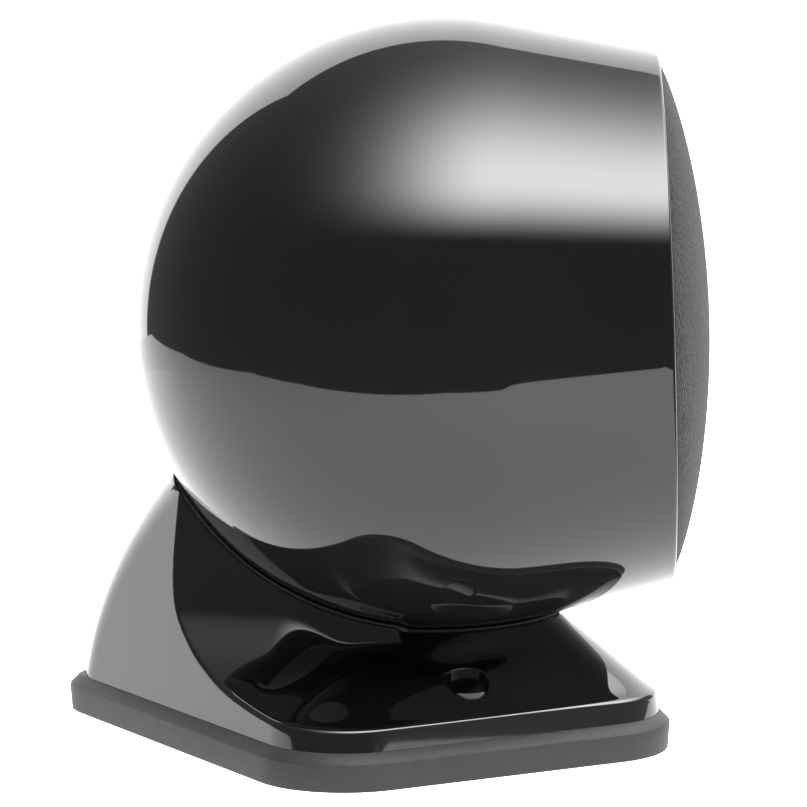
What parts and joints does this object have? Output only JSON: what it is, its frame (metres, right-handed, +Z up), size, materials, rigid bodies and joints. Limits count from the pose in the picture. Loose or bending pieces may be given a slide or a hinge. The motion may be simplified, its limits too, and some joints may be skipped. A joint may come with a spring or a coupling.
{
  "type": "spherical satellite loudspeaker",
  "caption": "Glossy spherical loudspeaker with a domed front grille, on a kite-shaped pan and tilt base with a tall rear hump and a rubber foot.",
  "frame": {"origin": "underside of the rubber foot, on the pan axis", "axes": "+X towards the front point of the base, +Z up along the pan axis"},
  "size_m": [0.1518, 0.1342, 0.1534],
  "materials": {
    "gloss_black": "polished gloss black moulding",
    "foot_rubber": "matte moulded rubber",
    "grille_mesh": "fine textured dark grey mesh",
    "matte_black": "matte moulded",
    "zinc_steel": "zinc plated",
    "spring_steel": "oiled spring steel",
    "brass": "turned brass",
    "nylon": "natural nylon",
    "felt": "dense black felt",
    "foam": "closed cell foam",
    "basket_paint": "black stoved paint",
    "ferrite": "ground ferrite",
    "cone_paper": "coated paper",
    "roll_rubber": "soft butyl rubber",
    "spider_cloth": "resin treated cloth",
    "copper": "enamelled copper winding",
    "board": "fibreglass board",
    "film_yellow": "wrapped film capacitor",
    "wadding": "polyester wadding",
    "button_red": "red moulding",
    "button_black": "black moulding"
  },
  "bodies": {
    "base": {"foot_pad": "foot_rubber", "base_plate": "zinc_steel", "base_cover": "gloss_black", "cover_screws": "zinc_steel", "stem_bushing": "nylon", "seat_ring": "felt", "terminal_housing": "matte_black", "terminal_contacts": "brass", "terminal_spring_left": "spring_steel", "terminal_spring_right": "spring_steel"},
    "button_left": {"terminal_button_left": "button_red"},
    "button_right": {"terminal_button_right": "button_black"},
    "swivel": {"clamp_stem": "zinc_steel", "clamp_saddle": "spring_steel", "spring_washer": "spring_steel", "clamp_nut": "brass"},
    "cabinet": {"ball_shell": "gloss_black", "baffle_ring": "matte_black", "grille_ring": "matte_black", "grille_dome": "grille_mesh", "driver_gasket": "foam", "driver_basket": "basket_paint", "driver_screws": "zinc_steel", "front_plate": "zinc_steel", "magnet": "ferrite", "yoke": "zinc_steel", "driver_terminals": "brass", "board_standoffs": "brass", "filter_board": "board", "filter_capacitor": "film_yellow", "filter_coil": "copper", "damping_pad": "wadding", "surround": "roll_rubber", "spider": "spider_cloth"},
    "cone_assembly": {"speaker_cone": "cone_paper", "dust_cap": "cone_paper", "voice_coil": "copper"}
  },
  "joints": [
    {"name": "pan", "type": "hinge", "parent": "base", "child": "swivel", "pos_m": [0, 0, 0.02], "axis": [0, 0, 1], "range_deg": [-81.5, 38.5]},
    {"name": "tilt", "type": "hinge", "parent": "swivel", "child": "cabinet", "pos_m": [0, 0, 0.0884], "axis": [0.3665, -0.9304, 0], "range_deg": [0, 14]},
    {"name": "cone_travel", "type": "slide", "parent": "cabinet", "child": "cone_assembly", "axis": [0.9299, 0.3663, 0.0349], "range_m": [-0.0025, 0.0025], "stiffness_N_per_m": 1800, "deforming": ["surround", "spider"]},
    {"name": "left_terminal_press", "type": "slide", "parent": "base", "child": "button_left", "axis": [0, 0, 1], "range_m": [0, 0.0018], "stiffness_N_per_m": 300, "springref_m": -0.001, "deforming": ["terminal_spring_left"]},
    {"name": "right_terminal_press", "type": "slide", "parent": "base", "child": "button_right", "axis": [0, 0, 1], "range_m": [0, 0.0018], "stiffness_N_per_m": 300, "springref_m": -0.001, "deforming": ["terminal_spring_right"]}
  ]
}
